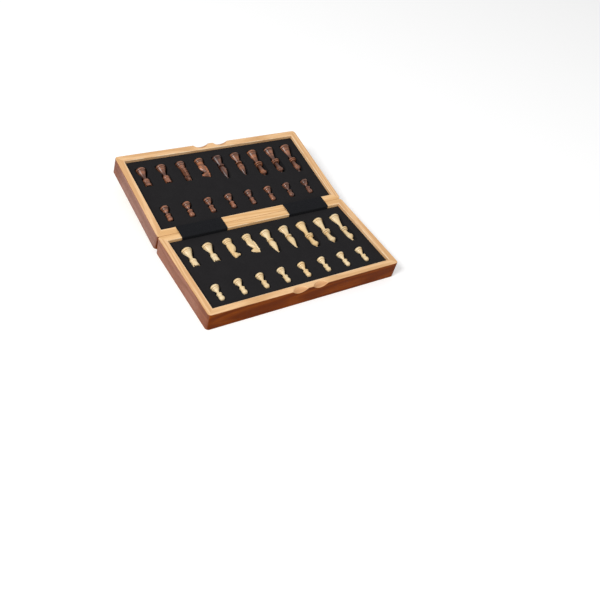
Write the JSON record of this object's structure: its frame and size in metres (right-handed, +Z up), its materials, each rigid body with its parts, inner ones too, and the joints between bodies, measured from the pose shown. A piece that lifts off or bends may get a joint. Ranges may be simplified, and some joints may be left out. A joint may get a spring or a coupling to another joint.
{
  "type": "folding chess box",
  "caption": "Hinged two-tray wooden chess box that opens into a board, with foam inserts holding removable turned pieces.",
  "frame": {"origin": "centre of the base tray's underside, which is half of the playing surface", "axes": "+X along the hinge, +Y from the base tray to the lid tray, +Z up out of the base tray"},
  "size_m": [0.29, 0.2925, 0.0481],
  "materials": {
    "board_veneer": "printed chessboard veneer, satin lacquer",
    "plywood": "stained edge",
    "frame_wood": "bare rim and inner faces, reddish-brown stained outer faces, satin",
    "black_foam": "flocked foam, matt",
    "black_cloth": "thin felt, matt",
    "hinge_brass": "brushed",
    "light_wood": "turned maple, satin",
    "dark_wood": "turned, reddish-brown stain, satin"
  },
  "bodies": {
    "base": {"base_board_veneer": "board_veneer", "base_board_panel": "plywood", "base_front_rail": "frame_wood", "base_hinge_rail": "frame_wood", "base_left_rail": "frame_wood", "base_right_rail": "frame_wood", "base_foam_insert": "black_foam", "base_left_hinge_leaf": "hinge_brass", "base_right_hinge_leaf": "hinge_brass", "left_hinge_pin": "hinge_brass", "right_hinge_pin": "hinge_brass", "base_hinge_screws": "hinge_brass", "base_left_hinge_cover": "black_cloth", "base_right_hinge_cover": "black_cloth"},
    "lid": {"lid_board_veneer": "board_veneer", "lid_board_panel": "plywood", "lid_front_rail": "frame_wood", "lid_hinge_rail": "frame_wood", "lid_left_rail": "frame_wood", "lid_right_rail": "frame_wood", "lid_foam_insert": "black_foam", "lid_left_hinge_leaf": "hinge_brass", "lid_right_hinge_leaf": "hinge_brass", "lid_hinge_screws": "hinge_brass", "lid_left_hinge_cover": "black_cloth", "lid_right_hinge_cover": "black_cloth"},
    "light_rook_1": {"light_rook_1": "light_wood"},
    "light_rook_2": {"light_rook_2": "light_wood"},
    "light_knight_1": {"light_knight_1": "light_wood"},
    "light_knight_2": {"light_knight_2": "light_wood"},
    "light_bishop_1": {"light_bishop_1": "light_wood"},
    "light_bishop_2": {"light_bishop_2": "light_wood"},
    "light_queen_1": {"light_queen_1": "light_wood"},
    "light_queen_2": {"light_queen_2": "light_wood"},
    "light_king": {"light_king": "light_wood"},
    "light_pawn_1": {"light_pawn_1": "light_wood"},
    "light_pawn_2": {"light_pawn_2": "light_wood"},
    "light_pawn_3": {"light_pawn_3": "light_wood"},
    "light_pawn_4": {"light_pawn_4": "light_wood"},
    "light_pawn_5": {"light_pawn_5": "light_wood"},
    "light_pawn_6": {"light_pawn_6": "light_wood"},
    "light_pawn_7": {"light_pawn_7": "light_wood"},
    "light_pawn_8": {"light_pawn_8": "light_wood"},
    "dark_rook_1": {"dark_rook_1": "dark_wood"},
    "dark_rook_2": {"dark_rook_2": "dark_wood"},
    "dark_knight_1": {"dark_knight_1": "dark_wood"},
    "dark_knight_2": {"dark_knight_2": "dark_wood"},
    "dark_bishop_1": {"dark_bishop_1": "dark_wood"},
    "dark_bishop_2": {"dark_bishop_2": "dark_wood"},
    "dark_queen_1": {"dark_queen_1": "dark_wood"},
    "dark_queen_2": {"dark_queen_2": "dark_wood"},
    "dark_king": {"dark_king": "dark_wood"},
    "dark_pawn_1": {"dark_pawn_1": "dark_wood"},
    "dark_pawn_2": {"dark_pawn_2": "dark_wood"},
    "dark_pawn_3": {"dark_pawn_3": "dark_wood"},
    "dark_pawn_4": {"dark_pawn_4": "dark_wood"},
    "dark_pawn_5": {"dark_pawn_5": "dark_wood"},
    "dark_pawn_6": {"dark_pawn_6": "dark_wood"},
    "dark_pawn_7": {"dark_pawn_7": "dark_wood"},
    "dark_pawn_8": {"dark_pawn_8": "dark_wood"}
  },
  "joints": [
    {"name": "lid_hinge", "type": "hinge", "parent": "base", "child": "lid", "pos_m": [0, 0.07265, 0.02565], "axis": [-1, 0, 0], "range_deg": [-171, 9]},
    {"name": "light_rook_1_lift", "type": "slide", "parent": "base", "child": "light_rook_1", "axis": [0, 0, 1], "range_m": [0, 0.04]},
    {"name": "light_rook_2_lift", "type": "slide", "parent": "base", "child": "light_rook_2", "axis": [0, 0, 1], "range_m": [0, 0.04]},
    {"name": "light_knight_1_lift", "type": "slide", "parent": "base", "child": "light_knight_1", "axis": [0, 0, 1], "range_m": [0, 0.04]},
    {"name": "light_knight_2_lift", "type": "slide", "parent": "base", "child": "light_knight_2", "axis": [0, 0, 1], "range_m": [0, 0.04]},
    {"name": "light_bishop_1_lift", "type": "slide", "parent": "base", "child": "light_bishop_1", "axis": [0, 0, 1], "range_m": [0, 0.04]},
    {"name": "light_bishop_2_lift", "type": "slide", "parent": "base", "child": "light_bishop_2", "axis": [0, 0, 1], "range_m": [0, 0.04]},
    {"name": "light_queen_1_lift", "type": "slide", "parent": "base", "child": "light_queen_1", "axis": [0, 0, 1], "range_m": [0, 0.04]},
    {"name": "light_queen_2_lift", "type": "slide", "parent": "base", "child": "light_queen_2", "axis": [0, 0, 1], "range_m": [0, 0.04]},
    {"name": "light_king_lift", "type": "slide", "parent": "base", "child": "light_king", "axis": [0, 0, 1], "range_m": [0, 0.04]},
    {"name": "light_pawn_1_lift", "type": "slide", "parent": "base", "child": "light_pawn_1", "axis": [0, 0, 1], "range_m": [0, 0.04]},
    {"name": "light_pawn_2_lift", "type": "slide", "parent": "base", "child": "light_pawn_2", "axis": [0, 0, 1], "range_m": [0, 0.04]},
    {"name": "light_pawn_3_lift", "type": "slide", "parent": "base", "child": "light_pawn_3", "axis": [0, 0, 1], "range_m": [0, 0.04]},
    {"name": "light_pawn_4_lift", "type": "slide", "parent": "base", "child": "light_pawn_4", "axis": [0, 0, 1], "range_m": [0, 0.04]},
    {"name": "light_pawn_5_lift", "type": "slide", "parent": "base", "child": "light_pawn_5", "axis": [0, 0, 1], "range_m": [0, 0.04]},
    {"name": "light_pawn_6_lift", "type": "slide", "parent": "base", "child": "light_pawn_6", "axis": [0, 0, 1], "range_m": [0, 0.04]},
    {"name": "light_pawn_7_lift", "type": "slide", "parent": "base", "child": "light_pawn_7", "axis": [0, 0, 1], "range_m": [0, 0.04]},
    {"name": "light_pawn_8_lift", "type": "slide", "parent": "base", "child": "light_pawn_8", "axis": [0, 0, 1], "range_m": [0, 0.04]},
    {"name": "dark_rook_1_lift", "type": "slide", "parent": "lid", "child": "dark_rook_1", "axis": [0, -0.1564, 0.9877], "range_m": [0, 0.04]},
    {"name": "dark_rook_2_lift", "type": "slide", "parent": "lid", "child": "dark_rook_2", "axis": [0, -0.1564, 0.9877], "range_m": [0, 0.04]},
    {"name": "dark_knight_1_lift", "type": "slide", "parent": "lid", "child": "dark_knight_1", "axis": [0, -0.1564, 0.9877], "range_m": [0, 0.04]},
    {"name": "dark_knight_2_lift", "type": "slide", "parent": "lid", "child": "dark_knight_2", "axis": [0, -0.1564, 0.9877], "range_m": [0, 0.04]},
    {"name": "dark_bishop_1_lift", "type": "slide", "parent": "lid", "child": "dark_bishop_1", "axis": [0, -0.1564, 0.9877], "range_m": [0, 0.04]},
    {"name": "dark_bishop_2_lift", "type": "slide", "parent": "lid", "child": "dark_bishop_2", "axis": [0, -0.1564, 0.9877], "range_m": [0, 0.04]},
    {"name": "dark_queen_1_lift", "type": "slide", "parent": "lid", "child": "dark_queen_1", "axis": [0, -0.1564, 0.9877], "range_m": [0, 0.04]},
    {"name": "dark_queen_2_lift", "type": "slide", "parent": "lid", "child": "dark_queen_2", "axis": [0, -0.1564, 0.9877], "range_m": [0, 0.04]},
    {"name": "dark_king_lift", "type": "slide", "parent": "lid", "child": "dark_king", "axis": [0, -0.1564, 0.9877], "range_m": [0, 0.04]},
    {"name": "dark_pawn_1_lift", "type": "slide", "parent": "lid", "child": "dark_pawn_1", "axis": [0, -0.1564, 0.9877], "range_m": [0, 0.04]},
    {"name": "dark_pawn_2_lift", "type": "slide", "parent": "lid", "child": "dark_pawn_2", "axis": [0, -0.1564, 0.9877], "range_m": [0, 0.04]},
    {"name": "dark_pawn_3_lift", "type": "slide", "parent": "lid", "child": "dark_pawn_3", "axis": [0, -0.1564, 0.9877], "range_m": [0, 0.04]},
    {"name": "dark_pawn_4_lift", "type": "slide", "parent": "lid", "child": "dark_pawn_4", "axis": [0, -0.1564, 0.9877], "range_m": [0, 0.04]},
    {"name": "dark_pawn_5_lift", "type": "slide", "parent": "lid", "child": "dark_pawn_5", "axis": [0, -0.1564, 0.9877], "range_m": [0, 0.04]},
    {"name": "dark_pawn_6_lift", "type": "slide", "parent": "lid", "child": "dark_pawn_6", "axis": [0, -0.1564, 0.9877], "range_m": [0, 0.04]},
    {"name": "dark_pawn_7_lift", "type": "slide", "parent": "lid", "child": "dark_pawn_7", "axis": [0, -0.1564, 0.9877], "range_m": [0, 0.04]},
    {"name": "dark_pawn_8_lift", "type": "slide", "parent": "lid", "child": "dark_pawn_8", "axis": [0, -0.1564, 0.9877], "range_m": [0, 0.04]}
  ]
}
